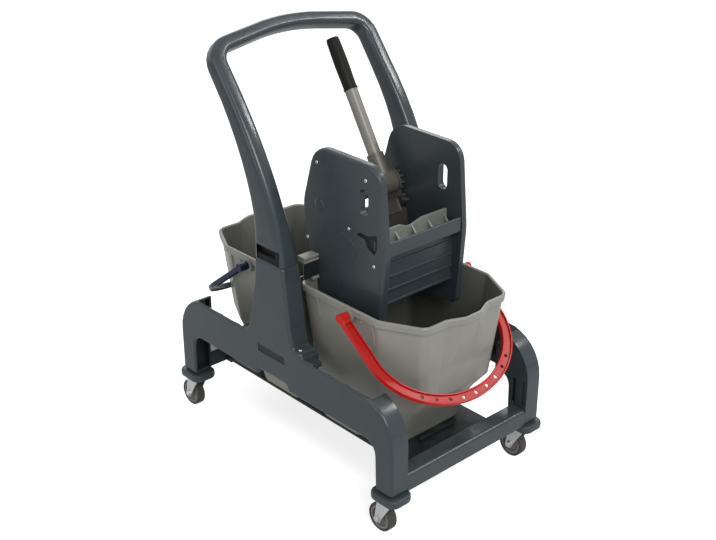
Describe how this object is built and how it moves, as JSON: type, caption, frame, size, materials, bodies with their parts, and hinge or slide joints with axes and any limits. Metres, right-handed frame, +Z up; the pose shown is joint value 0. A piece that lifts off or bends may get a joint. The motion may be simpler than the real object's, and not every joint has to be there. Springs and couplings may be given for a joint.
{
  "type": "double mop bucket trolley",
  "caption": "Wheeled chassis with a push handle that carries a dirty-water and a clean-water bucket, with a geared lever wringer hung on the front bucket's rim.",
  "frame": {"origin": "on the floor, under the middle of the trolley", "axes": "+X to the front, the end of the bucket with the red bail; +Y to the right side; +Z up"},
  "size_m": [0.7234, 0.444, 0.8846],
  "materials": {
    "frame_plastic": "satin moulded, fine grain",
    "latch_plastic": "matte",
    "bucket_plastic": "smooth satin",
    "red_plastic": "satin",
    "navy_plastic": "satin",
    "pale_plastic": "satin",
    "lever_metal": "pale powder coat",
    "grip_rubber": "matte ribbed",
    "zinc": "bright zinc plate",
    "wheel_plastic": "matte",
    "tyre_rubber": "matte"
  },
  "bodies": {
    "chassis": {"side_frame_left": "frame_plastic", "side_frame_right": "frame_plastic", "push_handle": "frame_plastic", "handle_latches": "latch_plastic", "column_screws": "zinc", "front_cross_bar": "frame_plastic", "rear_cross_bar": "frame_plastic", "bucket_tray": "frame_plastic", "tray_bolts": "zinc", "corner_bumper_front_left": "frame_plastic", "corner_bumper_front_right": "frame_plastic", "corner_bumper_rear_left": "frame_plastic", "corner_bumper_rear_right": "frame_plastic", "castor_stem_front_left": "zinc", "castor_stem_front_right": "zinc", "castor_stem_rear_left": "zinc", "castor_stem_rear_right": "zinc"},
    "front_bucket": {"bucket_front": "bucket_plastic"},
    "rear_bucket": {"bucket_rear": "bucket_plastic"},
    "front_bail": {"bail_front": "red_plastic"},
    "rear_bail": {"bail_rear": "navy_plastic"},
    "wringer": {"wringer_cheek_left": "frame_plastic", "wringer_cheek_right": "frame_plastic", "wringer_front_panel": "frame_plastic", "wringer_comb": "pale_plastic", "wringer_sieve": "frame_plastic", "wringer_hanger_left": "pale_plastic", "wringer_hanger_right": "pale_plastic", "cheek_screws": "zinc", "shaft_bushes": "pale_plastic", "jaw_pins": "zinc"},
    "lever": {"press_shaft": "pale_plastic", "drive_pinions": "pale_plastic", "lever_socket": "pale_plastic", "lever_tube": "lever_metal", "lever_grip": "grip_rubber"},
    "jaw": {"press_jaw": "pale_plastic"},
    "castor_front_left": {"castor_fork_front_left": "zinc", "castor_axle_front_left": "zinc"},
    "wheel_front_left": {"wheel_core_front_left": "wheel_plastic", "tyre_front_left": "tyre_rubber"},
    "castor_front_right": {"castor_fork_front_right": "zinc", "castor_axle_front_right": "zinc"},
    "wheel_front_right": {"wheel_core_front_right": "wheel_plastic", "tyre_front_right": "tyre_rubber"},
    "castor_rear_left": {"castor_fork_rear_left": "zinc", "castor_axle_rear_left": "zinc"},
    "wheel_rear_left": {"wheel_core_rear_left": "wheel_plastic", "tyre_rear_left": "tyre_rubber"},
    "castor_rear_right": {"castor_fork_rear_right": "zinc", "castor_axle_rear_right": "zinc"},
    "wheel_rear_right": {"wheel_core_rear_right": "wheel_plastic", "tyre_rear_right": "tyre_rubber"}
  },
  "joints": [
    {"name": "swivel_front_left", "type": "hinge", "parent": "chassis", "child": "castor_front_left", "pos_m": [0.3135, -0.19, 0.07], "axis": [0, 0, 1], "continuous": true},
    {"name": "roll_front_left", "type": "hinge", "parent": "castor_front_left", "child": "wheel_front_left", "pos_m": [0.2925, -0.19, 0.03], "axis": [0, 1, 0], "continuous": true},
    {"name": "swivel_front_right", "type": "hinge", "parent": "chassis", "child": "castor_front_right", "pos_m": [0.3135, 0.19, 0.07], "axis": [0, 0, 1], "continuous": true},
    {"name": "roll_front_right", "type": "hinge", "parent": "castor_front_right", "child": "wheel_front_right", "pos_m": [0.2925, 0.19, 0.03], "axis": [0, 1, 0], "continuous": true},
    {"name": "swivel_rear_left", "type": "hinge", "parent": "chassis", "child": "castor_rear_left", "pos_m": [-0.3135, -0.19, 0.07], "axis": [0, 0, 1], "continuous": true},
    {"name": "roll_rear_left", "type": "hinge", "parent": "castor_rear_left", "child": "wheel_rear_left", "pos_m": [-0.3345, -0.19, 0.03], "axis": [0, 1, 0], "continuous": true},
    {"name": "swivel_rear_right", "type": "hinge", "parent": "chassis", "child": "castor_rear_right", "pos_m": [-0.3135, 0.19, 0.07], "axis": [0, 0, 1], "continuous": true},
    {"name": "roll_rear_right", "type": "hinge", "parent": "castor_rear_right", "child": "wheel_rear_right", "pos_m": [-0.3345, 0.19, 0.03], "axis": [0, 1, 0], "continuous": true},
    {"name": "front_bucket_lift", "type": "slide", "parent": "chassis", "child": "front_bucket", "axis": [0, 0, 1], "range_m": [0, 0.15]},
    {"name": "rear_bucket_lift", "type": "slide", "parent": "chassis", "child": "rear_bucket", "axis": [-0.342, 0, 0.9397], "range_m": [0, 0.15]},
    {"name": "front_bail_swing", "type": "hinge", "parent": "front_bucket", "child": "front_bail", "pos_m": [0.155, 0, 0.397], "axis": [0, -1, 0], "range_deg": [0, 105]},
    {"name": "rear_bail_swing", "type": "hinge", "parent": "rear_bucket", "child": "rear_bail", "pos_m": [-0.155, 0, 0.397], "axis": [0, 1, 0], "range_deg": [0, 140]},
    {"name": "wringer_lift", "type": "slide", "parent": "front_bucket", "child": "wringer", "axis": [0, 0, 1], "range_m": [0, 0.2]},
    {"name": "lever_swing", "type": "hinge", "parent": "wringer", "child": "lever", "pos_m": [0.026, 0, 0.573], "axis": [0, 1, 0], "range_deg": [0, 72]},
    {"name": "jaw_swing", "type": "hinge", "parent": "wringer", "child": "jaw", "pos_m": [0.026, 0, 0.505], "axis": [0, -1, 0], "range_deg": [0, 30.5]}
  ],
  "couplings": [
    {"joint": "jaw_swing", "follows": "lever_swing", "ratio": 0.41667}
  ]
}
